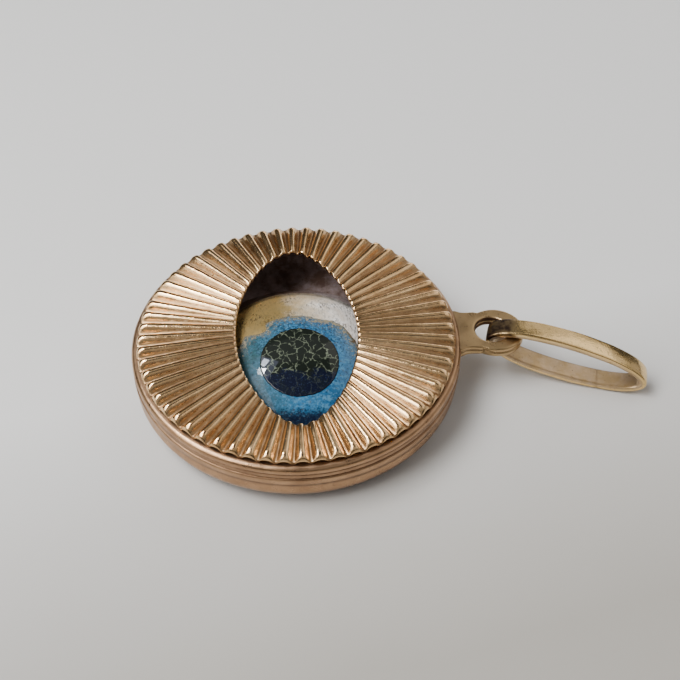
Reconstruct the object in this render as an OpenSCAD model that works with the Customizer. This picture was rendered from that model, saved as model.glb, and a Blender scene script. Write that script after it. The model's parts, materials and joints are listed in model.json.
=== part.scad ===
// Moving-eye charm: a round gold case with a sunburst cover, an almond window, a painted
// eye that rolls behind the window, and an oval bail that hangs in the lug.
// The case lies on its back. +X points to the lug, +Y along the window, +Z to the front.

/* [Case] */
// Outer radius of the round case
case_r = 8.66; // [8.5:0.01:8.8]
// Thickness of the pressed walls of the case
wall_t = 0.36; // [0.32:0.01:0.4]
// Radius of the flat part of the back
base_r = 6.9; // [6.8:0.05:7.2]
// Height at which the rounded back meets the straight side
base_rise = 1.07; // [0.95:0.01:1.15]
// Thickness of the flat back
floor_t = 0.3; // [0.26:0.01:0.32]
// Height of the seam between the back and the side band
back_seam_z = 1.57; // [1.5:0.01:1.62]
// Height of the seam between the side band and the front frame
front_seam_z = 2.37; // [2.33:0.01:2.4]
// Height of the ledge that carries the cover
ledge_z = 2.78; // [2.74:0.01:2.8]
// Inner radius of the ledge
ledge_r = 7.75; // [7.5:0.05:7.9]

/* [Cover] */
// Number of pressed flutes
flutes = 60; // [48:4:64]
// Outer radius of the fluted cover
cover_r = 8.35; // [8.2:0.01:8.4]
// Thickness of the cover's sheet
cover_t = 0.18; // [0.14:0.01:0.22]
// Angle from the lug to the bottom of the first flute
flute_turn_deg = 2.3; // [0:0.1:5.9]
// How far beyond the axis the flutes on each side of the window point
flute_fan = 0.65; // [0:0.05:0.8]
// Height of a flute at the cover's edge, valley to crest
flute_h = 0.39; // [0.25:0.01:0.42]
// How fast the flutes get lower toward the window, 1 for in step with their width
flute_taper = 1.7; // [1:0.1:2]
// How much the cover rises from its edge to its middle
cover_crown = 0.4; // [0.3:0.01:0.45]
// Half of the window's width
window_half_w = 3.24; // [3:0.01:3.4]
// Radius of the window's two long sides
window_side_r = 9.42; // [9.2:0.01:9.6]
// Roundness of the window's two corners, 0 for sharp ones
window_round = 0.15; // [0.1:0.01:0.2]

/* [Lug] */
// Thickness of each of the two leaves of the lug
lug_leaf_t = 0.31; // [0.25:0.01:0.34]
// Distance from the case's axis to the lug's hole
lug_hole_x = 10.42; // [10.4:0.01:10.44]
// Radius of the lug's hole
lug_hole_r = 0.87; // [0.85:0.01:0.9]
// Distance from the case's axis to the centre of the lug's round end
lug_end_x = 10.65; // [10.6:0.01:10.7]
// Radius of the lug's round end
lug_end_r = 1.5; // [1.45:0.01:1.6]
// Half of the lug's width at its neck
lug_neck_half_w = 1.25; // [1.1:0.01:1.35]
// Half of the lug's width where it leaves the case
lug_root_half_w = 1.45; // [1.4:0.01:1.7]

/* [Eye] */
// Outer radius of curvature of the rolling dome
eye_r = 9; // [8.9:0.01:9]
// Height of the point about which the dome rolls
eye_centre_z = -5.8; // [-5.85:0.01:-5.78]
// Thickness of the dome's sheet
eye_t = 0.25; // [0.22:0.01:0.28]
// Radius of the dome's open rim
eye_rim_r = 5.2; // [5.1:0.01:5.2]
// Roll of the dome, away from the middle of the window
eye_roll_deg = 11; // [0:0.5:11]
// Radius of the blue iris
iris_r = 3.3; // [2.8:0.01:3.4]
// Radius of the black pupil
pupil_r = 2.03; // [1.9:0.01:2.2]
// Thickness of each layer of enamel
enamel_t = 0.06; // [0.05:0.01:0.08]
// Gap between the rolling dome and the seat inside it
seat_gap = 0.15; // [0.12:0.01:0.2]
// Thickness of the seat's sheet
seat_t = 0.3; // [0.25:0.01:0.35]

/* [Bail] */
// Distance from the case's axis to the bail's strip, where it passes through the lug
bail_x = 10.4; // [10.36:0.01:10.44]
// Half of the bail's outer length
bail_half_l = 4.46; // [4.4:0.01:4.47]
// Half of the bail's outer height
bail_half_h = 1.37; // [1.36:0.01:1.38]
// Width of the bail's strip
bail_w = 1.16; // [1:0.01:1.18]
// Thickness of the bail's strip
bail_t = 0.42; // [0.38:0.01:0.42]
// Swing of the bail in the lug's hole, 0 when it points straight out
bail_yaw_deg = -17; // [-80:1:80]
// Slope of the bail, from the lug's hole down to the table
bail_pitch_deg = 10.4; // [10.3:0.05:10.5]
// Lean of the bail about its long axis
bail_lean_deg = 1.8; // [0:0.1:1.8]

/* [Hidden] */

round_fn = 160;
wall_r = case_r - wall_t;
lip_t = 0.25;
lip_r = wall_r - lip_t;
lip_drop = 0.37;
lip_rise = 0.33;
bevel = 0.07;

// Side band: a raised bead below a groove, then the plain upper wall
bead_z = 1.8;
bead_out = 0.04;
groove_z = 2.04;
groove_w = 0.06;

// Front frame: a round shoulder outside the ledge
shoulder_r = 0.24;
shoulder_out = 0.03;
ledge_t = 0.28;

// Cover: rings of points from the window to the edge, four points to a flute
ring_steps = [0, 0.2, 0.4, 0.6, 0.8, 0.93, 0.975, 1];
points_per_flute = 4;
sectors = flutes * points_per_flute;
edge_fall_w = 0.45;
fan_round = 0.12;
window_side_x = window_side_r - window_half_w;

lug_top_z = front_seam_z + lug_leaf_t;
lug_bottom_z = front_seam_z - lug_leaf_t;
lug_flare = 0.3;
lug_root_x = case_r + lug_flare;

gold = [0.78, 0.6, 0.4];
pale_gold = [0.86, 0.74, 0.5];
dark_gold = [0.36, 0.25, 0.17];
iris_blue = [0.27, 0.55, 0.72];
pupil_black = [0.05, 0.07, 0.12];

// Points of a quarter arc, from the angle a0 to a1 about [cx, cz]
function arc(cx, cz, rx, rz, a0, a1, steps) =
    [for (i = [0 : steps]) let(a = a0 + (a1 - a0) * i / steps) [cx + rx * cos(a), cz + rz * sin(a)]];

// Distance from the axis to the window's edge, in the direction a
function window_edge(a) =
    let(g = sqrt(pow(cos(a), 2) + pow(window_round, 2)))
    -window_side_x * g + sqrt(pow(window_side_r, 2) - pow(window_side_x, 2) * (1 - g * g));

// Height of the bottom of the flutes at the radius r
function valley_z(r) = ledge_z + cover_t + cover_crown * (1 - pow(r / cover_r, 2));

// Share of a flute's height that is left near the edge, where the crests turn down
function edge_share(r) =
    let(s = min(1, max(0, r - (cover_r - edge_fall_w)) / edge_fall_w)) sqrt(1 - s * s);

// Height of a flute above its valley at the sector i: valley, flank, crest, flank
function flute_rise(i, r) =
    let(phase = i % points_per_flute)
    flute_h * pow(r / cover_r, flute_taper) * edge_share(r) * (phase == 0 ? 0 : phase == 2 ? 1 : 0.5);

// How far a flute has turned at the radius r, when a is its angle at the cover's edge
function flute_lean(a, r) =
    let(side = cos(a) / sqrt(pow(cos(a), 2) + pow(fan_round, 2)))
    flute_fan * sin(a) * side * (1 / r - 1 / cover_r) * 180 / PI;

// Radius at which the same flute meets the window, found in a few tries
function flute_start(a, tries = 3) =
    window_edge(tries == 0 ? a : a + flute_lean(a, flute_start(a, tries - 1)));

function cover_point(i, step, drop) =
    let(
        a = 360 * i / sectors + flute_turn_deg,
        start = flute_start(a),
        r = start + (cover_r - start) * step,
        turn = a + flute_lean(a, r)
    )
    [r * cos(turn), r * sin(turn), valley_z(r) + flute_rise(i, r) - drop];

// One leaf of the lug, from the case's side outwards
module lug_leaf(z, t) {
    translate([0, 0, z])
        linear_extrude(t)
            difference() {
                union() {
                    translate([lug_end_x, 0]) circle(r = lug_end_r, $fn = round_fn);
                    polygon([
                        [wall_r, -lug_root_half_w],
                        [case_r, -lug_root_half_w],
                        [lug_root_x, -lug_neck_half_w],
                        [lug_end_x, -lug_neck_half_w],
                        [lug_end_x, lug_neck_half_w],
                        [lug_root_x, lug_neck_half_w],
                        [case_r, lug_root_half_w],
                        [wall_r, lug_root_half_w]
                    ]);
                }
                circle(r = wall_r, $fn = round_fn);
                translate([lug_hole_x, 0]) circle(r = lug_hole_r, $fn = round_fn);
            }
}

// Pressed back: flat base, rounded shoulder and the lower part of the side
module back_shell() {
    color(gold)
        rotate_extrude($fn = round_fn)
            polygon(concat(
                [[0, 0]],
                arc(base_r, base_rise, case_r - base_r, base_rise, 270, 360, 12),
                [
                    [case_r, back_seam_z - bevel],
                    [case_r - bevel, back_seam_z],
                    [wall_r, back_seam_z]
                ],
                arc(base_r, base_rise, wall_r - base_r, base_rise - floor_t, 360, 270, 12),
                [[0, floor_t]]
            ));
}

// Ring between the back and the front frame, with the lower leaf of the lug
module side_band() {
    color(gold) {
        rotate_extrude($fn = round_fn)
            polygon([
                [lip_r, back_seam_z - lip_drop],
                [wall_r, back_seam_z - lip_drop],
                [wall_r, back_seam_z],
                [case_r - bevel, back_seam_z],
                [case_r + bead_out / 2, back_seam_z + bevel],
                [case_r + bead_out, bead_z],
                [case_r + bead_out / 2, groove_z - groove_w],
                [case_r - bevel, groove_z],
                [case_r, groove_z + groove_w],
                [case_r, front_seam_z],
                [wall_r, front_seam_z],
                [wall_r, back_seam_z + lip_rise],
                [lip_r, back_seam_z + lip_rise]
            ]);
        lug_leaf(lug_bottom_z, lug_leaf_t);
    }
}

// Round frame that carries the cover, with the upper leaf of the lug
module front_frame() {
    color(gold) {
        rotate_extrude($fn = round_fn)
            polygon(concat(
                [
                    [lip_r, front_seam_z - lip_drop],
                    [wall_r, front_seam_z - lip_drop],
                    [wall_r, front_seam_z],
                    [case_r, front_seam_z]
                ],
                arc(case_r + shoulder_out - shoulder_r, ledge_z - shoulder_r, shoulder_r, shoulder_r, 0, 90, 8),
                [
                    [ledge_r, ledge_z],
                    [ledge_r, ledge_z - ledge_t],
                    [lip_r, ledge_z - ledge_t]
                ]
            ));
        lug_leaf(front_seam_z, lug_leaf_t);
    }
}

// Corrugated sunburst sheet with the almond window
module front_cover() {
    rings = len(ring_steps);
    layer = rings * sectors;
    top_points = [for (s = ring_steps) for (i = [0 : sectors - 1]) cover_point(i, s, 0)];
    low_points = [for (s = ring_steps) for (i = [0 : sectors - 1]) cover_point(i, s, cover_t)];
    top_faces = [
        for (k = [0 : rings - 2]) for (i = [0 : sectors - 1])
            let(j = (i + 1) % sectors, a = k * sectors, b = a + sectors)
            each [[a + i, a + j, b + j], [a + i, b + j, b + i]]
    ];
    low_faces = [for (f = top_faces) [f[0] + layer, f[2] + layer, f[1] + layer]];
    window_faces = [
        for (i = [0 : sectors - 1])
            let(j = (i + 1) % sectors)
            each [[i, layer + i, layer + j], [i, layer + j, j]]
    ];
    edge_faces = [
        for (i = [0 : sectors - 1])
            let(j = (i + 1) % sectors, a = (rings - 1) * sectors)
            each [[a + i, a + j, a + layer + j], [a + i, a + layer + j, a + layer + i]]
    ];
    color(gold)
        polyhedron(
            points = concat(top_points, low_points),
            faces = concat(top_faces, low_faces, window_faces, edge_faces),
            convexity = 10
        );
}

// Domed sheet of the outer radius r and thickness t, open below the height z
module dome_shell(r, t, z) {
    difference() {
        intersection() {
            translate([0, 0, eye_centre_z]) sphere(r = r, $fn = round_fn);
            translate([0, 0, z]) cylinder(r = r, h = r, $fn = round_fn);
        }
        translate([0, 0, eye_centre_z]) sphere(r = r - t, $fn = round_fn);
    }
}

// Layer of enamel on a dome of the radius r, as wide as the radius w
module enamel_layer(r, w) {
    difference() {
        intersection() {
            translate([0, 0, eye_centre_z]) sphere(r = r + enamel_t, $fn = round_fn);
            cylinder(r = w, h = r, $fn = round_fn);
        }
        translate([0, 0, eye_centre_z]) sphere(r = r, $fn = round_fn);
    }
}

// Turns what rides on the dome about the point it rolls on
module rolled() {
    translate([0, 0, eye_centre_z])
        rotate([eye_roll_deg, 0, 0])
            translate([0, 0, -eye_centre_z])
                children();
}

// Fixed dome inside the case that the eye rolls on
module eye_seat() {
    color(dark_gold)
        dome_shell(eye_r - eye_t - seat_gap, seat_t, floor_t);
}

// Rolling gold dome that carries the painted eye
module eye_dome() {
    rim_z = eye_centre_z + sqrt(pow(eye_r, 2) - pow(eye_rim_r, 2));
    color(pale_gold)
        rolled() dome_shell(eye_r, eye_t, rim_z);
}

module iris_enamel() {
    color(iris_blue)
        rolled() enamel_layer(eye_r, iris_r);
}

module pupil_enamel() {
    color(pupil_black)
        rolled() enamel_layer(eye_r + enamel_t, pupil_r);
}

// Oval outline of the bail, with the half length a and the half height b
module oval(a, b) {
    polygon([for (i = [0 : 95]) [a * cos(i * 3.75), b * sin(i * 3.75)]]);
}

// Oval strip bent through the lug's hole and soldered into a ring
module bail() {
    color(gold)
        translate([bail_x, 0, front_seam_z])
            rotate([-bail_lean_deg, bail_pitch_deg, bail_yaw_deg])
                translate([bail_half_l - bail_t / 2, bail_w / 2, 0])
                    rotate([90, 0, 0])
                        linear_extrude(bail_w)
                            difference() {
                                oval(bail_half_l, bail_half_h);
                                oval(bail_half_l - bail_t, bail_half_h - bail_t);
                            }
}

back_shell();
side_band();
front_frame();
front_cover();
eye_seat();
eye_dome();
iris_enamel();
pupil_enamel();
bail();
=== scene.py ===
"""Looks of the moving-eye charm: finer gold shells round the CAD frame, enamel, light and camera.

Sizes are in millimetres unless a name says otherwise, and MM turns them into metres.
The case lies on its back: +X points to the lug, +Y along the window, +Z out of the front.
"""

import json
import math

import bmesh
import bpy
import numpy as np
from mathutils import Euler, Matrix, Vector, noise


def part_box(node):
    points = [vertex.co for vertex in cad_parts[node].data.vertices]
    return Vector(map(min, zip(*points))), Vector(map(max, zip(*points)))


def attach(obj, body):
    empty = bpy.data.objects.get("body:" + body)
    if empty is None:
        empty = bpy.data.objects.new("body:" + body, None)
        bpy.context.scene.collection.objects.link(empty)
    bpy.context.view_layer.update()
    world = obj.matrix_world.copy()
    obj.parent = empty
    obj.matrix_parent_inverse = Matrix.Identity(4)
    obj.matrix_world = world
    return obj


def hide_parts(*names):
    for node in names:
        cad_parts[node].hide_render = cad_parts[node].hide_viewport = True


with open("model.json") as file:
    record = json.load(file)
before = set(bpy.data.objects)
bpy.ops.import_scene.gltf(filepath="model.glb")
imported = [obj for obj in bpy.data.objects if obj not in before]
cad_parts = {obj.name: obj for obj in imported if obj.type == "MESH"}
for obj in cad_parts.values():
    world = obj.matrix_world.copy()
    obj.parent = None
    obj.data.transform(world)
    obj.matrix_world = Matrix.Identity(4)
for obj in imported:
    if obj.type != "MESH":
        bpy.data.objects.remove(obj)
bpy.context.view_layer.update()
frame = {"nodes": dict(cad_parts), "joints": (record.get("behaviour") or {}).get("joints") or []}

MM = 0.001
# Without a seed noise_vector differs from run to run
noise.seed_set(1)


def joint_place(name):
    """Where a joint's axis passes, in millimetres."""
    joint = next(j for j in frame["joints"] if j["name"] == name)
    return np.array(joint["pos_m"]) / MM


def box_mm(node):
    """The lowest and the highest corner of a CAD node, in millimetres."""
    low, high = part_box(node)
    return np.array(low) / MM, np.array(high) / MM


# ---------------------------------------------------------------- sizes

# The case, read from the frame
CASE_R = box_mm("back_shell")[1][1]
BACK_TOP = box_mm("back_shell")[1][2]
LEDGE_Z = box_mm("front_frame")[1][2]
BAND_TOP = box_mm("side_band")[1][2]
WALL_T = 0.36
WALL_R = CASE_R - WALL_T
LIP_T = 0.25
LIP_R = WALL_R - LIP_T
LIP_DOWN = 0.37
LIP_UP = 0.33
BEAD_Z = 1.8
GROOVE_Z = 2.04
BASE_R = 6.9
BASE_RISE = 1.07
FLOOR_T = 0.3
LEDGE_R = 7.75
LEDGE_T = 0.28
SHOULDER_R = 0.24
TURN_STEPS = 360

# The sunburst cover
FLUTES = 60
STEPS_PER_FLUTE = 16
COVER_R = box_mm("front_cover")[1][0]
COVER_T = 0.18
COVER_CROWN = 0.4
FLUTE_TURN = math.radians(2.3)
FLUTE_FAN = 0.65
FAN_ROUND = 0.12
FLUTE_H = 0.39
FLUTE_UNEVEN = 0.05
FLUTE_TAPER = 1.7
CREST_FLATNESS = 1.6
# The rounded head of a flute at the rim: its width, how much of its height is left, its thickness
HEAD_W = 0.45
HEAD_OPEN = 0.35
HEAD_T = 0.08
# The share by which the flutes are lower at the window, and how far from it that ends
EDGE_PRESS = 0.3
EDGE_PRESS_W = 0.6
WINDOW_HALF_W = 3.24
WINDOW_SIDE_R = 9.42
WINDOW_ROUND = 0.15

# The lug
LUG_LEAF_T = 0.31
LUG_HOLE_X = 10.42
LUG_HOLE_R = 0.87
LUG_END_X = 10.65
LUG_END_R = 1.5
LUG_NECK_FAR = 1.34
LUG_NECK_NEAR = 1.2
LUG_FLARE = 0.16
LUG_FLARE_LENGTH = 0.14
LUG_NECK_FADE = 1.1
LUG_NECK_BLEND = 0.2
LUG_HOLE_LIP = 0.13
LUG_RIM = 0.12

# The eye
ROLL_CENTRE = joint_place("eye_roll")
EYE_TILT = math.radians(11)
EYE_R = 9.0
EYE_T = 0.25
EYE_RIM_R = 5.2
IRIS_R = 3.3
PUPIL_R = 2.03
PUPIL_SHIFT = (0.065, -0.13)
ENAMEL_T = 0.06
# The iris lies just on the dome's surface, and the pupil a little in the iris
IRIS_BASE_R = EYE_R + 0.004
PUPIL_BASE_R = EYE_R + ENAMEL_T - 0.002
# Share of the radius where the enamel has its full thickness
ENAMEL_FULL = 0.965
# Where the edge of the iris has worn back: angle and width in degrees, depth
IRIS_WEAR = ((97, 38, 0.36), (134, 9, 0.5), (64, 9, 0.2), (270, 34, -0.3))

# The bail
BAIL_PLACE = joint_place("bail_swing")
BAIL_HALF_L = 4.46
BAIL_HALF_H = 1.37
BAIL_W = 1.16
BAIL_T = 0.42
BAIL_CROWN = 0.03
BAIL_SEAM_DEG = -61
BAIL_SEAM_DEPTH = 0.02
# The oval's half by the lug is fuller than an ellipse, whose power would be 1
BAIL_FULLNESS = 0.86
BAIL_TURN = Euler([math.radians(a) for a in (-1.8, 10.4, -17)], "XYZ")

# ---------------------------------------------------------------- mesh helpers


def grid_faces(rows, columns, wrap_columns):
    """Quads between the neighbours of a grid of points, whose last row meets its first."""
    last_column = columns if wrap_columns else columns - 1
    i, j = np.meshgrid(np.arange(rows), np.arange(last_column), indexing="ij")
    i2, j2 = (i + 1) % rows, (j + 1) % columns
    corners = [i * columns + j, i2 * columns + j, i2 * columns + j2, i * columns + j2]
    return np.stack(corners, -1).reshape(-1, 4)


def grid_piece(name, grid, wrap_columns=True, **marks):
    """A smooth closed mesh from a grid of points in millimetres, with one float attribute per mark."""
    rows, columns = grid.shape[:2]
    mesh = bpy.data.meshes.new(name)
    faces = grid_faces(rows, columns, wrap_columns)
    mesh.from_pydata((grid.reshape(-1, 3) * MM).tolist(), [], faces.tolist())
    for mark, values in marks.items():
        layer = mesh.attributes.new(mark, "FLOAT", "POINT")
        values = np.broadcast_to(values, (rows, columns)).ravel()
        layer.data.foreach_set("value", values.astype(np.float32))
    piece = bpy.data.objects.new(name, mesh)
    bpy.context.scene.collection.objects.link(piece)
    work = bmesh.new()
    work.from_mesh(mesh)
    bmesh.ops.remove_doubles(work, verts=work.verts, dist=1e-4 * MM)
    bmesh.ops.recalc_face_normals(work, faces=work.faces)
    work.to_mesh(mesh)
    work.free()
    mesh.shade_smooth()
    return piece


def place(piece, body, material, node):
    """Gives a piece its body and its material, and hides the CAD node that it stands for."""
    piece.data.materials.clear()
    piece.data.materials.append(material)
    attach(piece, body)
    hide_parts(node)


def join(name, pieces):
    """One piece from several."""
    bpy.ops.object.select_all(action="DESELECT")
    for piece in pieces:
        piece.select_set(True)
    bpy.context.view_layer.objects.active = pieces[0]
    bpy.ops.object.join()
    pieces[0].name = name
    return pieces[0]


def soft_outline(corners, steps=5):
    """A closed outline through (x, y, softness) corners, each cut back by its softness and rounded."""
    points = []
    count = len(corners)
    for k, (x, y, soft) in enumerate(corners):
        here = np.array([x, y])
        if soft == 0:
            points.append(here)
            continue
        before = np.array(corners[k - 1][:2]) - here
        after = np.array(corners[(k + 1) % count][:2]) - here
        start = here + before * min(0.5, soft / np.linalg.norm(before))
        end = here + after * min(0.5, soft / np.linalg.norm(after))
        for t in np.linspace(0, 1, steps):
            points.append((1 - t) ** 2 * start + 2 * t * (1 - t) * here + t * t * end)
    return np.array(points)


def dense(outline, step, closed=True):
    """The outline with points added so that none is further than step from the next."""
    ends = np.roll(outline, -1, axis=0) if closed else outline[1:]
    starts = outline if closed else outline[:-1]
    points = []
    for a, b in zip(starts, ends):
        count = max(1, math.ceil(np.linalg.norm(b - a) / step))
        points += [a + (b - a) * i / count for i in range(count)]
    if not closed:
        points.append(outline[-1])
    return np.array(points)


def lathe(outline):
    """A grid of points: the (r, z) outline turned round the Z axis."""
    turn = np.linspace(0, 2 * math.pi, TURN_STEPS, endpoint=False)
    r, z = outline[:, 0], outline[:, 1]
    x, y = np.outer(np.cos(turn), r), np.outer(np.sin(turn), r)
    return np.stack([x, y, np.broadcast_to(z, x.shape)], -1)


def worn(grid, size, depth, seed):
    """The grid moved by smooth noise, as a soft metal surface is after years of wear."""
    flat = grid.reshape(-1, 3)
    shift = Vector((seed * 7.3, seed * 3.1, seed * 5.7))
    moved = [noise.noise_vector(Vector(p) / size + shift) for p in flat]
    return (flat + np.array(moved) * depth).reshape(grid.shape)


def noise_line(angles, seed, radius=3):
    """Smooth noise along a circle. The larger its radius, the shorter the waves."""
    return np.array([noise.noise(Vector((math.cos(a) * radius, math.sin(a) * radius, seed))) for a in angles])


# ---------------------------------------------------------------- shapes


def window_edge(turn):
    """Distance from the axis to the window's edge."""
    side_x = WINDOW_SIDE_R - WINDOW_HALF_W
    lean = np.sqrt(np.cos(turn) ** 2 + WINDOW_ROUND**2)
    return np.sqrt(WINDOW_SIDE_R**2 - side_x**2 * (1 - lean**2)) - side_x * lean


def flute_lean(turn, r):
    """How far a flute has turned at the radius r, when turn is its angle at the cover's edge."""
    side = np.cos(turn) / np.sqrt(np.cos(turn) ** 2 + FAN_ROUND**2)
    return FLUTE_FAN * np.sin(turn) * side * (1 / r - 1 / COVER_R)


def cover_grid():
    """Points of the fluted sheet, and for each 0 in the valley of its flute to 1 on the crest."""
    count = FLUTES * STEPS_PER_FLUTE
    flute = np.arange(count) / STEPS_PER_FLUTE
    turn = flute * 2 * math.pi / FLUTES + FLUTE_TURN
    swell = 1 - (0.5 + 0.5 * np.cos(2 * math.pi * flute)) ** CREST_FLATNESS
    uneven = np.array([noise.noise(Vector((math.floor(f) * 1.7, 4.2, 0))) for f in flute])
    height = FLUTE_H * swell * (1 + FLUTE_UNEVEN * uneven)
    steps = np.concatenate([np.linspace(0, 0.15, 7), np.linspace(0.2, 0.85, 14), np.linspace(0.875, 1, 16)])
    inner = window_edge(turn)
    for _ in range(3):
        inner = window_edge(turn + flute_lean(turn, inner))
    r = inner[:, None] + (COVER_R - inner)[:, None] * steps[None]
    fall = np.clip((r - (COVER_R - HEAD_W)) / HEAD_W, 0, 1)
    head = HEAD_OPEN + (1 - HEAD_OPEN) * np.sqrt(1 - fall**2)
    pressed = 1 - EDGE_PRESS * np.clip(1 - (r - inner[:, None]) / EDGE_PRESS_W, 0, 1) ** 2
    rise = height[:, None] * (r / COVER_R) ** FLUTE_TAPER * head * pressed
    top = LEDGE_Z + COVER_T + COVER_CROWN * (1 - (r / COVER_R) ** 2) + rise
    low = top - COVER_T + (COVER_T - HEAD_T) * fall**2 * swell[:, None]
    middle = (top + low) / 2

    def at(radius, z):
        angle = turn[:, None] + flute_lean(turn[:, None], radius)
        return np.stack([radius * np.cos(angle), radius * np.sin(angle), z], -1)

    bulge = 0.03
    rim = at(r[:, -1:] + bulge, middle[:, -1:])
    edge = at(r[:, :1] - bulge, middle[:, :1])
    grid = np.concatenate([at(r, top), rim, at(r, low)[:, ::-1], edge], 1)
    return grid, swell[:, None]


def lug_outline(turn):
    """Distance from the lug hole's axis to the lug's outline, in each direction."""
    round_end = LUG_END_X + LUG_END_R * np.sin(np.linspace(0.02, math.pi / 2, 80))
    x = np.concatenate([np.linspace(CASE_R - 0.3, LUG_END_X, 120), round_end])
    end = np.sqrt(np.maximum(0, LUG_END_R**2 - (x - LUG_END_X) ** 2))
    flare = LUG_FLARE * np.exp(-np.maximum(0, x - CASE_R) / LUG_FLARE_LENGTH)
    fade = np.clip((LUG_END_X - x) / LUG_NECK_FADE, 0, 1)
    fade = fade * fade * (3 - 2 * fade)
    distances = []
    for neck in (LUG_NECK_FAR, LUG_NECK_NEAR):
        side = (neck + flare) * fade
        half = (side + end + np.sqrt((side - end) ** 2 + LUG_NECK_BLEND**2 * fade)) / 2
        angle = np.arctan2(half, x - LUG_HOLE_X)
        order = angle.argsort()
        distances.append(np.interp(np.abs(turn), angle[order], np.hypot(x - LUG_HOLE_X, half)[order]))
    return np.where(turn > 0, distances[0], distances[1])


def lug_leaf(name, low, seed):
    """One leaf of the lug: a flat plate with rounded edges, round its hole."""
    turn = np.linspace(-math.pi, math.pi, 300, endpoint=False)
    outer = lug_outline(turn)[:, None]
    inner = np.full_like(outer, LUG_HOLE_R)
    high = low + LUG_LEAF_T
    quarter = np.linspace(0, math.pi / 2, 6)
    lip_in, lip_down = LUG_HOLE_LIP * (1 - np.cos(quarter)), LUG_HOLE_LIP * (1 - np.sin(quarter))
    rim_in, rim_down = LUG_RIM * (1 - np.cos(quarter)), LUG_RIM * (1 - np.sin(quarter))
    flat_steps = 8
    across = np.linspace(0.1, 0.9, flat_steps)
    flat = inner + LUG_HOLE_LIP + (outer - inner - LUG_HOLE_LIP - LUG_RIM) * across
    r = np.concatenate([
        inner + lip_in[::-1], inner + lip_in, flat,
        outer - rim_in[::-1], outer - rim_in, flat[:, ::-1],
    ], 1)
    z = np.concatenate([
        low + lip_down[::-1], high - lip_down, np.full(flat_steps, high),
        high - rim_down[::-1], low + rim_down, np.full(flat_steps, low),
    ])
    x = LUG_HOLE_X + r * np.cos(turn)[:, None]
    y = r * np.sin(turn)[:, None]
    grid = np.stack([x, y, np.broadcast_to(z, x.shape)], -1)
    # Near the case the leaf is darkened by dirt and by a painted shade in the crease at the lug's root.
    near_case = 0.7 * np.clip(1 - (np.hypot(x, y) - CASE_R) / 0.5, 0, 1)
    # On the wall of the hole the darkening is a painted shadow.
    in_hole = 1.8 * np.clip((LUG_HOLE_R + 0.1 - r) / 0.06, 0, 1) * (z < high - 0.03)
    grid = worn(grid, size=1.6, depth=0.02, seed=seed)
    return grid_piece(name, grid, grime=np.maximum(near_case, in_hole), rubbed=1.0)


def back_grid():
    """Points of the pressed back, from the middle of its outside to the middle of its inside."""
    quarter = np.linspace(0, math.pi / 2, 14)
    outside = [(BASE_R + (CASE_R - BASE_R) * math.sin(a), BASE_RISE * (1 - math.cos(a))) for a in quarter]
    hollow_h = BASE_RISE - FLOOR_T
    inside = [(BASE_R + (WALL_R - BASE_R) * math.sin(a), BASE_RISE - hollow_h * math.cos(a))
              for a in quarter[::-1]]
    top = soft_outline([(CASE_R, BACK_TOP, 0.08), (WALL_R, BACK_TOP, 0), (WALL_R, BACK_TOP - 0.2, 0)])[:-1]
    outline = np.array([(0, 0)] + outside + top.tolist() + inside + [(0, FLOOR_T)])
    return lathe(dense(outline, 0.3, closed=False))


def band_outline():
    """The (r, z) outline of the band: a lip inside, a bead and a groove outside."""
    return dense(soft_outline([
        (LIP_R, BACK_TOP - LIP_DOWN, 0.04),
        (WALL_R, BACK_TOP - LIP_DOWN, 0.04),
        (WALL_R, BACK_TOP, 0),
        (CASE_R - 0.1, BACK_TOP, 0),
        (CASE_R + 0.04, BACK_TOP + 0.04, 0.08),
        (CASE_R + 0.05, BEAD_Z, 0.15),
        (CASE_R + 0.04, GROOVE_Z - 0.03, 0.08),
        (CASE_R - 0.09, GROOVE_Z, 0.02),
        (CASE_R, GROOVE_Z + 0.05, 0.05),
        (CASE_R, BAND_TOP - 0.03, 0.03),
        (CASE_R - 0.05, BAND_TOP, 0),
        (WALL_R, BAND_TOP, 0),
        (WALL_R, BACK_TOP + LIP_UP, 0),
        (LIP_R, BACK_TOP + LIP_UP, 0.04),
    ]), 0.25)


def frame_outline():
    """The (r, z) outline of the front frame: a lip inside, a round shoulder, and the cover's ledge."""
    out = CASE_R + 0.03
    middle_r, middle_z = out - SHOULDER_R, LEDGE_Z - SHOULDER_R
    shoulder = [(middle_r + SHOULDER_R * math.cos(a), middle_z + SHOULDER_R * math.sin(a), 0)
                for a in np.linspace(0, math.pi / 2, 10)]
    return dense(soft_outline([
        (LIP_R, BAND_TOP - LIP_DOWN, 0.04),
        (WALL_R, BAND_TOP - LIP_DOWN, 0.04),
        (WALL_R, BAND_TOP, 0),
        (CASE_R - 0.04, BAND_TOP, 0),
        (out, BAND_TOP + 0.05, 0.04),
        *shoulder,
        (LEDGE_R, LEDGE_Z, 0.05),
        (LEDGE_R, LEDGE_Z - LEDGE_T, 0.05),
        (LIP_R, LEDGE_Z - LEDGE_T, 0),
    ]), 0.25)


def seam_grime(grid, heights):
    """1 at the given heights and 0 away from them, for dirt in the seams."""
    reach = 0.09
    return np.clip(sum(np.exp(-((grid[..., 2] - h) / reach) ** 2) for h in heights), 0, 1)


def hidden_share(grid):
    """1 inside the case and 0 on its outside, for the tarnish that no cloth reaches."""
    r, z = np.hypot(grid[..., 0], grid[..., 1]), grid[..., 2]
    in_wall = np.clip((WALL_R + 0.06 - r) / 0.03, 0, 1)
    return in_wall * np.clip((z - FLOOR_T + 0.1) / 0.05, 0, 1) * np.clip((LEDGE_Z - 0.06 - z) / 0.03, 0, 1)


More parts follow.
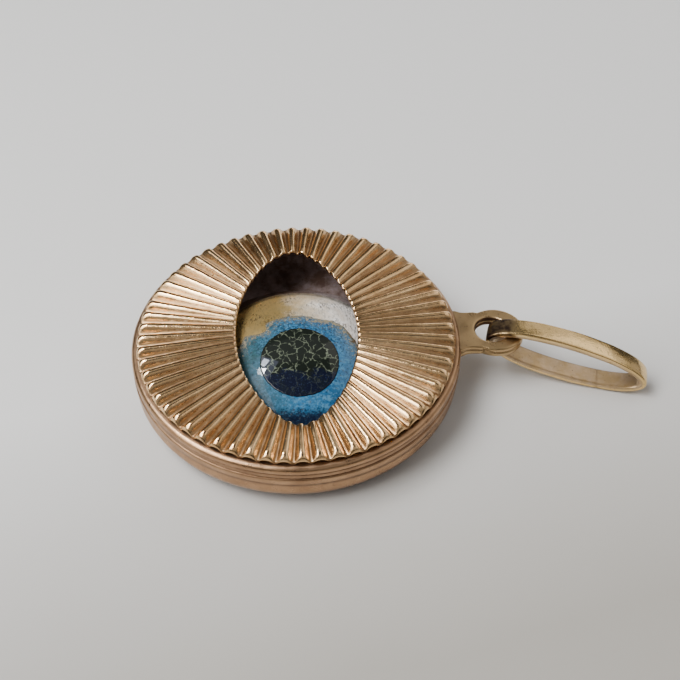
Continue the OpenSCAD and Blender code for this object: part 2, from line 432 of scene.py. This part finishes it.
def on_dome(radius, polar, turn, shift=(0, 0)):
    """A point on a sphere about the dome's centre, at a polar angle from the dome's own axis, at rest."""
    flat = radius * np.sin(polar)
    x, y = flat * np.cos(turn) + shift[0], flat * np.sin(turn) + shift[1]
    local = np.stack(np.broadcast_arrays(x, y, np.sqrt(radius**2 - x**2 - y**2)), -1)
    tilt = np.array(Matrix.Rotation(EYE_TILT, 3, "X"))
    return local @ tilt.T + ROLL_CENTRE


def dome_grid():
    """Points of the rolling dome, from outer pole to rim to inner pole, and how near the rim each is."""
    turns, inner_steps = 240, 24
    edge = math.asin(EYE_RIM_R / EYE_R)
    outer = np.linspace(0, edge, 60)
    beyond = edge + 0.004
    polar = np.concatenate([outer, [beyond, beyond, edge], np.linspace(edge - 0.005, 0, inner_steps)])
    bead_w = 0.022
    bead = 0.03 * np.clip((outer - (edge - bead_w)) / (bead_w * 0.35), 0, 1)
    side = [EYE_R, EYE_R - EYE_T * 0.7, EYE_R - EYE_T * 0.95]
    radius = np.concatenate([EYE_R + bead, side, np.full(inner_steps, EYE_R - EYE_T)])
    turn = np.linspace(0, 2 * math.pi, turns, endpoint=False)
    return on_dome(radius[None], polar[None], turn[:, None]), polar / edge


def enamel_grid(base, width, ragged, seed, wear=(), shift=(0, 0)):
    """Points of a layer of enamel on the dome, with a ragged edge, and the share of the way to the edge."""
    turn = np.linspace(0, 2 * math.pi, 480, endpoint=False)
    edge = width * (1 + ragged * (noise_line(turn, seed) * 0.6 + noise_line(turn, seed + 5, 14) * 0.4))
    for angle, spread, depth in wear:
        away = (np.degrees(turn) - angle + 180) % 360 - 180
        edge = edge - depth * np.exp(-((away / spread) ** 4))
    edge = np.arcsin(edge / EYE_R)
    share = np.concatenate([np.linspace(0, ENAMEL_FULL, 60), np.linspace(ENAMEL_FULL + 0.005, 1, 8)])
    fall = np.clip((share - ENAMEL_FULL) / (1 - ENAMEL_FULL), 0, 1)
    thick = ENAMEL_T * np.sqrt(np.clip(1 - fall**2, 0.02, 1))
    radius = np.concatenate([base + thick, [base, base, base]])[None]
    share = np.concatenate([share, [1, 0.5, 0]])[None]
    return on_dome(radius, share * edge[:, None], turn[:, None], shift), share


def bail_grid():
    """Points of the bail, a strip bent into an oval, with its dirt, a painted shade along its far edge, and
    its tarnished inside.
    """
    turn = np.linspace(-math.pi, math.pi, 400, endpoint=False)[:, None]
    half = BAIL_W / 2
    corners = ((-half, 0), (half, 0), (half, BAIL_T), (-half, BAIL_T))
    section = dense(soft_outline([(*corner, 0.1) for corner in corners], 6), 0.1)
    across, depth = section[:, 0], section[:, 1]
    side = np.sign(depth - BAIL_T / 2)
    outer, inner = (side > 0)[None], (side < 0)[None]
    away = turn - math.radians(BAIL_SEAM_DEG)
    out = depth - BAIL_T - BAIL_CROWN * (across / half) ** 2 * outer
    out = out - BAIL_SEAM_DEPTH * np.exp(-((away / 0.009) ** 2)) * side
    power = np.where(np.cos(turn) < 0, BAIL_FULLNESS, 1.0)
    x = (BAIL_HALF_L + out) * np.sign(np.cos(turn)) * np.abs(np.cos(turn)) ** power
    z = (BAIL_HALF_H + out) * np.sin(turn)
    y = np.broadcast_to(across, x.shape)
    grid = np.stack([x + BAIL_HALF_L - BAIL_T / 2, y, z], -1)
    grid = worn(grid, size=1.4, depth=0.018, seed=9)
    seam = 0.45 * np.exp(-((away / 0.03) ** 2))
    by_lug = np.clip((-np.cos(turn) - 0.62) / 0.12, 0, 1) * (np.sin(turn) > 0)
    # A painted shade along the strip's far edge.
    far_edge = 0.6 * np.clip((across / half - 0.8) / 0.12, 0, 1)[None]
    grime = far_edge + (seam + by_lug) * np.where(outer, 1.0, 0.35) + 0.15 * inner
    return grid @ np.array(BAIL_TURN.to_matrix()).T + BAIL_PLACE, grime, 0.45 * inner


# ---------------------------------------------------------------- materials


class Nodes:
    """A short way to build a shader tree. A value is the output of a node or a constant."""

    def __init__(self, name):
        self.material = bpy.data.materials.new(name)
        self.material.use_nodes = True
        self.tree = self.material.node_tree
        self.shader = self.tree.nodes["Principled BSDF"]
        self.place = self.add("ShaderNodeTexCoord").outputs["Object"]

    def add(self, kind, **settings):
        """A new node with these settings."""
        node = self.tree.nodes.new(kind)
        for key, value in settings.items():
            setattr(node, key, value)
        return node

    def put(self, value, socket):
        """Links an output to a socket, or sets the socket to a number or a colour."""
        if isinstance(value, bpy.types.NodeSocket):
            self.tree.links.new(value, socket)
        else:
            socket.default_value = (*value, 1) if isinstance(value, tuple) else value

    def shade(self, **values):
        """Sets the shader's sockets, whose names have _ for a space."""
        for name, value in values.items():
            self.put(value, self.shader.inputs[name.replace("_", " ")])

    def noise(self, size_mm, detail=4, rough=0.55, stretch=(1, 1, 1), turn=(0, 0, 0)):
        """Noise whose lumps are about size_mm across."""
        mapping = self.add("ShaderNodeMapping")
        mapping.inputs["Scale"].default_value = [s / (size_mm * MM) for s in stretch]
        mapping.inputs["Rotation"].default_value = turn
        self.put(self.place, mapping.inputs["Vector"])
        node = self.add("ShaderNodeTexNoise")
        node.inputs["Scale"].default_value = 1
        node.inputs["Detail"].default_value = detail
        node.inputs["Roughness"].default_value = rough
        self.put(mapping.outputs["Vector"], node.inputs["Vector"])
        return node.outputs["Fac"]

    def ramp(self, value, *stops):
        """Colours or greys at places from 0 to 1."""
        node = self.add("ShaderNodeValToRGB")
        elements = node.color_ramp.elements
        while len(elements) < len(stops):
            elements.new(0.5)
        for element, (where, tone) in zip(elements, stops):
            element.position = where
            element.color = (*tone, 1) if isinstance(tone, tuple) else (tone, tone, tone, 1)
        self.put(value, node.inputs["Fac"])
        return node.outputs["Color"]

    def mix(self, share, a, b):
        """The colour a where the share is 0, and b where it is 1."""
        node = self.add("ShaderNodeMix", data_type="RGBA")
        self.put(share, node.inputs["Factor"])
        self.put(a, node.inputs[6])
        self.put(b, node.inputs[7])
        return node.outputs[2]

    def math(self, operation, a, b, clamp=False):
        node = self.add("ShaderNodeMath", operation=operation, use_clamp=clamp)
        self.put(a, node.inputs[0])
        self.put(b, node.inputs[1])
        return node.outputs[0]

    def plus(self, a, b):
        return self.math("ADD", a, b)

    def minus(self, a, b):
        return self.math("SUBTRACT", a, b)

    def times(self, a, b, clamp=False):
        return self.math("MULTIPLY", a, b, clamp)

    def side(self, axis):
        """Position along one axis, in millimetres."""
        parts = self.add("ShaderNodeSeparateXYZ")
        self.put(self.place, parts.inputs[0])
        return self.math("DIVIDE", parts.outputs[axis], MM)

    def mark(self, name):
        """A mark of the mesh, 0 where it has none of that name."""
        return self.add("ShaderNodeAttribute", attribute_name=name).outputs["Fac"]

    def bump(self, height, depth_mm, under=None):
        """The surface's direction with small heights on it, and others under them if given."""
        node = self.add("ShaderNodeBump")
        node.inputs["Strength"].default_value = 1
        node.inputs["Distance"].default_value = depth_mm * MM
        self.put(height, node.inputs["Height"])
        if under is not None:
            self.put(under, node.inputs["Normal"])
        return node.outputs["Normal"]


def gold(name, bright, dull, darkening, rough, scratch=0.004, darkening_mark="grime", darkening_share=1.0,
         rubbed=None, tarnished=True):
    """Old gold: two tones, dirt and painted shade where its mark says, patchy gloss and fine scratches.

    It can have a third tone where it is marked as rubbed, and a grey tarnish where it is marked as inside.
    """
    n = Nodes(name)
    metal = n.mix(n.ramp(n.noise(1.3, 5, 0.6), (0.35, 0.0), (0.7, 1.0)), bright, dull)
    if rubbed:
        metal = n.mix(n.mark("rubbed"), metal, rubbed)
    metal = n.mix(n.ramp(n.noise(0.16, 3), (0.62, 0.0), (0.7, 0.35)), metal, darkening)
    # The marked darkening is dirt, and painted shade where the mark follows hollows, creases and edges turned
    # from the light.
    patchy_darkening = n.times(n.mark(darkening_mark), n.ramp(n.noise(0.5, 4), (0.2, 0.55), (0.6, 1.0)))
    grime = n.times(patchy_darkening, darkening_share, clamp=True)
    metal = n.mix(grime, metal, darkening)
    metallic, dulled = 1.0, grime
    if tarnished:
        inside = n.mark("inside")
        bloom = n.ramp(n.noise(0.9, 5, 0.65), (0.4, (0.14, 0.085, 0.065)), (0.7, (0.42, 0.34, 0.34)))
        metal = n.mix(inside, metal, bloom)
        metallic, dulled = n.minus(1.0, n.times(inside, 0.7)), n.plus(grime, inside)
    gloss = n.ramp(n.noise(0.8, 6, 0.65), (0.3, rough * 0.75), (0.7, rough * 1.35))
    lines = n.noise(0.05, 2, 0.5, stretch=(1, 0.03, 1), turn=(0, 0, 0.7))
    crossing = n.noise(0.06, 2, 0.5, stretch=(0.04, 1, 1), turn=(0, 0, -0.4))
    n.shade(
        Base_Color=metal,
        Metallic=metallic,
        Roughness=n.plus(gloss, n.times(dulled, 0.25)),
        Normal=n.bump(n.noise(0.7, 3), 0.02, n.bump(n.plus(lines, crossing), scratch)),
    )
    return n.material


def gilding(name):
    """The dome: olive gold at its left, worn to a scuffed white metal at its right, dark along its rim. Its
    white, which grows towards +X, is also a painted highlight for the glare on that side.
    """
    n = Nodes(name)
    # The share of white: worn white metal, and a painted highlight where it grows towards +X.
    bare_and_glare = n.ramp(n.plus(n.noise(0.9, 6, 0.7), n.times(n.side("X"), 0.2)), (0.3, 0.0), (1.0, 1.0))
    metal = n.mix(bare_and_glare, (0.66, 0.46, 0.17), (0.98, 0.96, 0.94))
    cloud = n.ramp(n.noise(0.6, 6, 0.7), (0.42, 0.0), (0.7, 0.8))
    metal = n.mix(n.times(cloud, 0.5), metal, (0.36, 0.27, 0.15))
    scuff = n.ramp(n.noise(0.1, 5, 0.75, stretch=(1, 0.35, 1)), (0.5, 0.0), (0.6, 0.9))
    handled = n.ramp(n.noise(0.9, 3), (0.4, 0.15), (0.62, 1.0))
    metal = n.mix(n.times(scuff, handled), metal, (0.05, 0.04, 0.03))
    rim = n.times(n.mark("rim"), n.ramp(n.noise(0.3, 4), (0.2, 0.7), (0.6, 1.0)))
    gloss = n.ramp(n.noise(0.6, 5), (0.3, 0.24), (0.7, 0.4))
    lines = n.noise(0.06, 3, 0.5, stretch=(1, 0.08, 1), turn=(0, 0, -0.5))
    n.shade(
        Base_Color=n.mix(rim, metal, (0.05, 0.04, 0.035)),
        Metallic=n.ramp(bare_and_glare, (0.0, 0.75), (1.0, 0.2)),
        Roughness=n.plus(n.times(bare_and_glare, 0.05), gloss),
        Normal=n.bump(n.noise(0.5, 3), 0.02, n.bump(lines, 0.005)),
    )
    return n.material


def tarnish(name):
    """Gold long out of reach of a cloth: black-brown, with a purple-grey bloom and black specks."""
    n = Nodes(name)
    # The seat grows paler towards +X.
    bloom = n.ramp(n.plus(n.noise(2.2, 4, 0.6), n.times(n.side("X"), 0.05)), (0.45, 0.0), (0.72, 1.0))
    metal = n.mix(bloom, (0.15, 0.09, 0.07), (0.5, 0.42, 0.42))
    speck = n.ramp(n.noise(0.13, 4, 0.6), (0.54, 0.0), (0.62, 0.8))
    n.shade(
        Base_Color=n.mix(speck, metal, (0.015, 0.01, 0.01)),
        Metallic=0.25,
        Roughness=n.ramp(n.noise(0.5, 5), (0.3, 0.4), (0.7, 0.6)),
        Normal=n.bump(n.noise(0.2, 4), 0.02),
    )
    return n.material


def iris_enamel():
    """Sky-blue enamel, teal at its left, mottled and specked, worn through to the gold at its edge."""
    n = Nodes("iris_enamel")
    across, edge = n.mark("across"), n.mark("edge")
    blue = n.ramp(
        across,
        (0.05, (0.025, 0.07, 0.07)),
        (0.3, (0.025, 0.085, 0.115)),
        (0.5, (0.025, 0.14, 0.3)),
        (0.78, (0.015, 0.09, 0.21)),
        (0.95, (0.085, 0.16, 0.26)),
    )
    clean = n.ramp(across, (0.12, 0.25), (0.42, 1.0))
    pale = n.ramp(n.noise(0.2, 6, 0.7), (0.46, 0.0), (0.6, 0.8))
    blue = n.mix(n.times(pale, clean), blue, (0.1, 0.27, 0.43))
    cloud = n.ramp(n.noise(0.9, 4), (0.4, 0.0), (0.65, 0.45))
    blue = n.mix(n.times(cloud, clean), blue, (0.05, 0.2, 0.38))
    speck = n.ramp(n.plus(n.noise(0.11, 4, 0.7), n.times(n.mark("wear"), 0.1)), (0.56, 0.0), (0.64, 1.0))
    blue = n.mix(n.times(speck, 0.85), blue, (0.006, 0.015, 0.035))
    # A painted shadow of the window's near edge, on the iris's near end.
    shadow = n.times(n.mark("near_shadow"), n.ramp(n.noise(0.12, 3), (0.3, 0.4), (0.5, 1.0)))
    blue = n.mix(shadow, blue, (0.004, 0.01, 0.03))
    border = n.ramp(n.plus(n.noise(0.22, 5, 0.7), n.times(edge, 0.3)), (0.56, 0.0), (0.8, 0.75))
    blue = n.mix(border, blue, (0.13, 0.17, 0.18))
    flake = n.ramp(n.plus(n.noise(0.17, 6, 0.75), n.times(edge, 0.29)), (0.68, 0.0), (0.76, 1.0))
    n.shade(
        Base_Color=n.mix(flake, blue, (0.42, 0.36, 0.24)),
        Metallic=flake,
        Roughness=n.ramp(n.noise(0.3, 4), (0.3, 0.35), (0.7, 0.5)),
        Specular_IOR_Level=0.05,
        Coat_Weight=0.15,
        Coat_Roughness=0.05,
        Normal=n.bump(n.minus(n.noise(0.14, 4), flake), 0.012),
    )
    return n.material


def crackle(n):
    """Fine bent cracks between cells, broken here and there."""
    wave_mm, bend_mm, cell_mm = 0.2, 0.3, 0.46
    wave = n.add("ShaderNodeTexNoise")
    wave.inputs["Scale"].default_value = 1 / (wave_mm * MM)
    wave.inputs["Detail"].default_value = 4
    n.put(n.place, wave.inputs["Vector"])
    bent = n.add("ShaderNodeVectorMath", operation="MULTIPLY_ADD")
    n.put(wave.outputs["Color"], bent.inputs[0])
    bent.inputs[1].default_value = (bend_mm * MM,) * 3
    n.put(n.place, bent.inputs[2])
    cells = n.add("ShaderNodeTexVoronoi", feature="DISTANCE_TO_EDGE")
    cells.inputs["Scale"].default_value = 1 / (cell_mm * MM)
    n.put(bent.outputs[0], cells.inputs["Vector"])
    crack = n.ramp(cells.outputs["Distance"], (0.0, 1.0), (0.02, 0.7), (0.055, 0.0))
    return n.times(crack, n.ramp(n.noise(0.35, 4), (0.42, 0.0), (0.52, 1.0)))


def pupil_enamel():
    """Blue-black enamel with a fine pale crackle in its upper part, under a clear gloss. Its greenish upper
    part and grey-green haze are a painted reflection of the lit room in the gloss.
    """
    n = Nodes("pupil_enamel")
    height = n.plus(n.mark("upper"), n.times(n.noise(0.9, 4), 1.1))
    upper = n.ramp(height, (0.86, 0.0), (1.0, 1.0))
    line = n.times(crackle(n), n.ramp(height, (0.74, 0.12), (1.0, 1.0)))
    # Navy below and greenish above, with grey-green haze: a painted reflection of the room in the gloss.
    glass_and_reflection = n.mix(upper, (0.002, 0.004, 0.016), (0.006, 0.009, 0.006))
    glass_and_reflection = n.mix(n.ramp(n.noise(0.4, 5), (0.45, 0.0), (0.7, 0.5)), glass_and_reflection, (0.008, 0.013, 0.01))
    grain = n.times(n.ramp(n.noise(0.06, 2), (0.6, 0.0), (0.68, 0.6)), n.minus(1.0, upper))
    glass_and_reflection = n.mix(grain, glass_and_reflection, (0.03, 0.05, 0.12))
    n.shade(
        Base_Color=n.mix(line, glass_and_reflection, (0.17, 0.2, 0.14)),
        Roughness=0.6,
        Specular_IOR_Level=0.05,
        Coat_Weight=0.75,
        Coat_Roughness=0.03,
        Normal=n.bump(n.minus(n.noise(0.5, 3), n.times(line, 0.6)), 0.006),
    )
    return n.material


def floor_material():
    """A pale, plain card with a painted shade that makes it a little darker and warmer towards the near
    right.
    """
    n = Nodes("floor")
    # Painted shade: the light's falloff towards the near right.
    nearness = n.minus(n.times(n.side("X"), 0.22), n.side("Y"))
    nearness = n.plus(n.times(nearness, 0.031), n.times(n.noise(9, 4), 0.06))
    card = n.ramp(
        nearness,
        (0.0, (0.74, 0.74, 0.735)),
        (0.25, (0.58, 0.57, 0.555)),
        (0.6, (0.4, 0.38, 0.345)),
    )
    n.shade(Base_Color=card, Roughness=0.75)
    return n.material


# ---------------------------------------------------------------- pieces

case_gold = gold("case_gold", bright=(0.52, 0.32, 0.18), dull=(0.36, 0.21, 0.115), darkening=(0.13, 0.075, 0.045),
                 rough=0.3, darkening_share=0.65, rubbed=(0.5, 0.34, 0.17))
# The cover's darkening follows its valleys: dirt and painted shade.
cover_gold = gold("cover_gold", bright=(0.97, 0.66, 0.35), dull=(0.76, 0.47, 0.22), darkening=(0.12, 0.055, 0.028),
                  rough=0.17, darkening_mark="valley", darkening_share=0.78, tarnished=False)
dome_gold = gilding("dome_gold")
inner_gold = tarnish("inner_gold")
bail_gold = gold("bail_gold", bright=(0.9, 0.63, 0.3), dull=(0.7, 0.49, 0.21), darkening=(0.045, 0.026, 0.018),
                 rough=0.16, scratch=0.0025)
# The same wear for the three pieces of the case, so that they still meet
CASE_WEAR = {"size": 3.0, "depth": 0.02, "seed": 1}


def make_back():
    """The pressed back, which wear leaves flat where it lies."""
    grid = worn(back_grid(), **CASE_WEAR)
    grid[..., 2] = np.maximum(grid[..., 2], 0)
    darkening = seam_grime(grid, [BACK_TOP])
    back = grid_piece("back_pressing", grid, wrap_columns=False, grime=darkening, inside=hidden_share(grid))
    place(back, "case", case_gold, "back_shell")


def make_band():
    """The band round the side, with the lower leaf of the lug."""
    grid = worn(lathe(band_outline()), **CASE_WEAR)
    darkening = seam_grime(grid, [BACK_TOP, GROOVE_Z, BAND_TOP])
    ring = grid_piece("band_ring", grid, grime=darkening, inside=hidden_share(grid))
    band = join("side_band_ring", [ring, lug_leaf("lug_low", BAND_TOP - LUG_LEAF_T, 2)])
    place(band, "case", case_gold, "side_band")


def make_frame():
    """The front frame, with dirt and a painted shade where the cover lies on it, with the upper leaf of the
    lug.
    """
    grid = worn(lathe(frame_outline()), **CASE_WEAR)
    # Where the cover lies on the frame the darkening is dirt and a painted shade under the cover's rim; in
    # the seam it is dirt.
    under_cover = np.clip((COVER_R + 0.2 - np.hypot(grid[..., 0], grid[..., 1])) / 0.2, 0, 1)
    darkening = np.maximum(seam_grime(grid, [BAND_TOP]) * 0.4, under_cover)
    ring = grid_piece("frame_ring", grid, grime=darkening, inside=hidden_share(grid))
    rim = join("front_frame_ring", [ring, lug_leaf("lug_high", BAND_TOP, 3)])
    place(rim, "case", case_gold, "front_frame")


def make_cover():
    """The sunburst cover, with dirt and painted shade in the valleys of its flutes."""
    grid, swell = cover_grid()
    grid = worn(grid, size=2.2, depth=0.025, seed=4)
    # The valley mark darkens the hollows of the flutes with dirt and a painted shade.
    cover = grid_piece("sunburst_cover", grid, valley=(1 - swell) ** 1.3)
    place(cover, "case", cover_gold, "front_cover")


def make_dome():
    """The loose dome that rolls behind the window."""
    grid, share = dome_grid()
    grid = worn(grid, size=1.8, depth=0.012, seed=5)
    rim = 0.8 * np.clip((share - 0.93) / 0.03, 0, 1)
    dome = grid_piece("dome_sheet", grid, wrap_columns=False, rim=rim)
    place(dome, "eye", dome_gold, "eye_dome")


def make_iris():
    """The blue enamel, most specked at its far and near ends, with a painted shadow of the window's edge at
    the near one, and worn at its edge.
    """
    centre = on_dome(EYE_R, 0.0, 0.0)
    grid, share = enamel_grid(IRIS_BASE_R, IRIS_R, ragged=0.05, seed=3, wear=IRIS_WEAR)
    across = (grid[..., 0] - centre[0]) / (2 * IRIS_R) + 0.5
    along = (grid[..., 1] - centre[1]) / (2 * IRIS_R) + 0.5
    marks = {
        "across": across,
        "wear": np.clip((along - 0.45) / 0.4, 0, 1) + 1.6 * np.clip((0.13 - along) / 0.08, 0, 1),
        # Where the window's near edge shades the iris: a painted shadow.
        "near_shadow": np.clip((0.11 - along) / 0.07, 0, 1),
        "edge": np.clip((share - 0.7) / 0.3, 0, 1) * np.clip((along - 0.3) * 2.5, 0, 1),
    }
    grid = worn(grid, size=0.6, depth=0.006, seed=6)
    iris = grid_piece("iris_layer", grid, wrap_columns=False, **marks)
    place(iris, "eye", iris_enamel(), "iris_enamel")


def make_pupil():
    """The dark enamel, crackled everywhere but near its near edge."""
    centre = on_dome(EYE_R, 0.0, 0.0)
    grid, _ = enamel_grid(PUPIL_BASE_R, PUPIL_R, ragged=0.03, seed=8, shift=PUPIL_SHIFT)
    upper = np.clip((grid[..., 1] - centre[1] + 1.35) / 1.4, 0, 1)
    grid = worn(grid, size=0.9, depth=0.006, seed=7)
    pupil = grid_piece("pupil_layer", grid, wrap_columns=False, upper=upper)
    place(pupil, "eye", pupil_enamel(), "pupil_enamel")


def paint_seat():
    """The seat is shown as it is in the CAD, with its material."""
    seat = frame["nodes"]["eye_seat"]
    seat.data.materials.clear()
    seat.data.materials.append(inner_gold)


def make_bail():
    """The bail, which hangs in the lug's hole."""
    grid, grime, inside = bail_grid()
    bail = grid_piece("bail_ring", grid, grime=grime, inside=inside)
    place(bail, "bail", bail_gold, "bail")


# ---------------------------------------------------------------- stage, light and camera

# Azimuths run from the far side, +Y, towards the lug, +X. Angles are in degrees.
CAMERA_AZIMUTH = 184.578
CAMERA_ELEVATION = 46.908
CAMERA_ROLL = 0.487
CAMERA_DISTANCE = 61.17
CAMERA_AIM = (2.477, 2.242, 0.0)
CAMERA_LENS = 57.55
CAMERA_SENSOR = 36

# name, azimuth, elevation, width, height, radiance, colour
LIGHTS = (
    ("key_window", 257, 56, 32, 26, 10.0, (1.0, 0.99, 0.97)),
    ("key_side", 241, 37, 24, 18, 5.4, (1.0, 0.98, 0.95)),
    ("key_far", 297, 52, 22, 18, 1.9, (0.96, 0.98, 1.0)),
    ("left_low", 252, 20, 24, 16, 2.0, (1.0, 0.98, 0.96)),
    ("right_wall", 82, 50, 60, 34, 0.75, (1.0, 0.95, 0.9)),
    ("right_low", 88, 16, 50, 22, 0.4, (1.0, 0.96, 0.92)),
    ("camera_side", 165, 46, 90, 36, 0.3, (1.0, 0.97, 0.94)),
    ("far_low", 20, 13, 36, 16, 2.2, (1.0, 1.0, 1.0)),
    ("far_right", 44, 35, 44, 22, 0.65, (1.0, 0.97, 0.92)),
    ("overhead", 352, 64, 60, 20, 0.33, (1.0, 0.98, 0.96)),
    ("sky_patch", 300, 64, 17, 15, 2.5, (0.6, 0.66, 1.0)),
    ("small_window", 298, 64, 5.6, 5.4, 160.0, (0.94, 0.97, 1.0)),
    ("upper_pane", 312, 62, 4.0, 4.0, 30.0, (0.8, 0.88, 1.0)),
)
LIGHT_DISTANCE = 160
# Seen only as glints, because their light comes to the matt surfaces through the haze instead
GLINTS = ("small_window", "upper_pane", "sky_patch")
# azimuth, elevation, spread, irradiance
HAZE = (290, 62, 38, 1.55)
WORLD_GREY = 0.06
FLOOR_DROP = 0.01
# Half the width of the floor, in metres. Its far edge shows only in low views
FLOOR_HALF = 3


def direction(azimuth, elevation):
    """A unit vector from the part towards the given azimuth and elevation."""
    turn, rise = math.radians(azimuth), math.radians(elevation)
    return Vector((math.cos(rise) * math.sin(turn), math.cos(rise) * math.cos(turn), math.sin(rise)))


def look_along(piece, place_m, towards):
    """Puts a camera or a lamp in its place, facing a direction."""
    piece.location = place_m
    piece.rotation_mode = "QUATERNION"
    piece.rotation_quaternion = towards.to_track_quat("-Z", "Y")


def hang_lamp(light, azimuth, elevation):
    """An object for a light, hung that way from the part and facing it."""
    lamp = bpy.data.objects.new(light.name, light)
    bpy.context.scene.collection.objects.link(lamp)
    away = direction(azimuth, elevation)
    look_along(lamp, away * LIGHT_DISTANCE * MM, -away)
    return lamp


def make_floor():
    """A plain card just under the part, with painted shade towards its near right, and the grey round it."""
    bpy.ops.mesh.primitive_grid_add(
        x_subdivisions=8, y_subdivisions=8, size=2 * FLOOR_HALF, location=(0, 0, -FLOOR_DROP * MM)
    )
    floor = bpy.context.active_object
    floor.name = "floor"
    floor.data.materials.append(floor_material())
    world = bpy.data.worlds.new("studio")
    world.use_nodes = True
    world.node_tree.nodes["Background"].inputs["Color"].default_value = (WORLD_GREY,) * 3 + (1,)
    bpy.context.scene.world = world


def make_lights():
    """The windows and walls round the part, and the haze."""
    for name, azimuth, elevation, width, height, radiance, colour in LIGHTS:
        light = bpy.data.lights.new(name, "AREA")
        light.shape = "RECTANGLE"
        light.size = 2 * LIGHT_DISTANCE * MM * math.tan(math.radians(width / 2))
        light.size_y = 2 * LIGHT_DISTANCE * MM * math.tan(math.radians(height / 2))
        light.energy = radiance * math.pi * light.size * light.size_y
        light.color = colour
        lamp = hang_lamp(light, azimuth, elevation)
        lamp.visible_diffuse = name not in GLINTS
    azimuth, elevation, spread, irradiance = HAZE
    light = bpy.data.lights.new("haze", "SUN")
    light.energy = irradiance
    light.angle = math.radians(spread)
    haze = hang_lamp(light, azimuth, elevation)
    haze.visible_glossy = False


def make_camera():
    """The camera of the photo."""
    camera = bpy.data.objects.new("camera", bpy.data.cameras.new("camera"))
    bpy.context.scene.collection.objects.link(camera)
    camera.data.lens = CAMERA_LENS
    camera.data.sensor_width = CAMERA_SENSOR
    camera.data.clip_start = 1 * MM
    camera.data.clip_end = 10
    back = direction(CAMERA_AZIMUTH, CAMERA_ELEVATION)
    look_along(camera, Vector(CAMERA_AIM) * MM + back * CAMERA_DISTANCE * MM, -back)
    roll = Matrix.Rotation(math.radians(CAMERA_ROLL), 3, "Z").to_quaternion()
    camera.rotation_quaternion = camera.rotation_quaternion @ roll
    bpy.context.scene.camera = camera


make_camera()
make_floor()
make_lights()
make_back()
make_band()
make_frame()
make_cover()
make_dome()
make_iris()
make_pupil()
paint_seat()
make_bail()
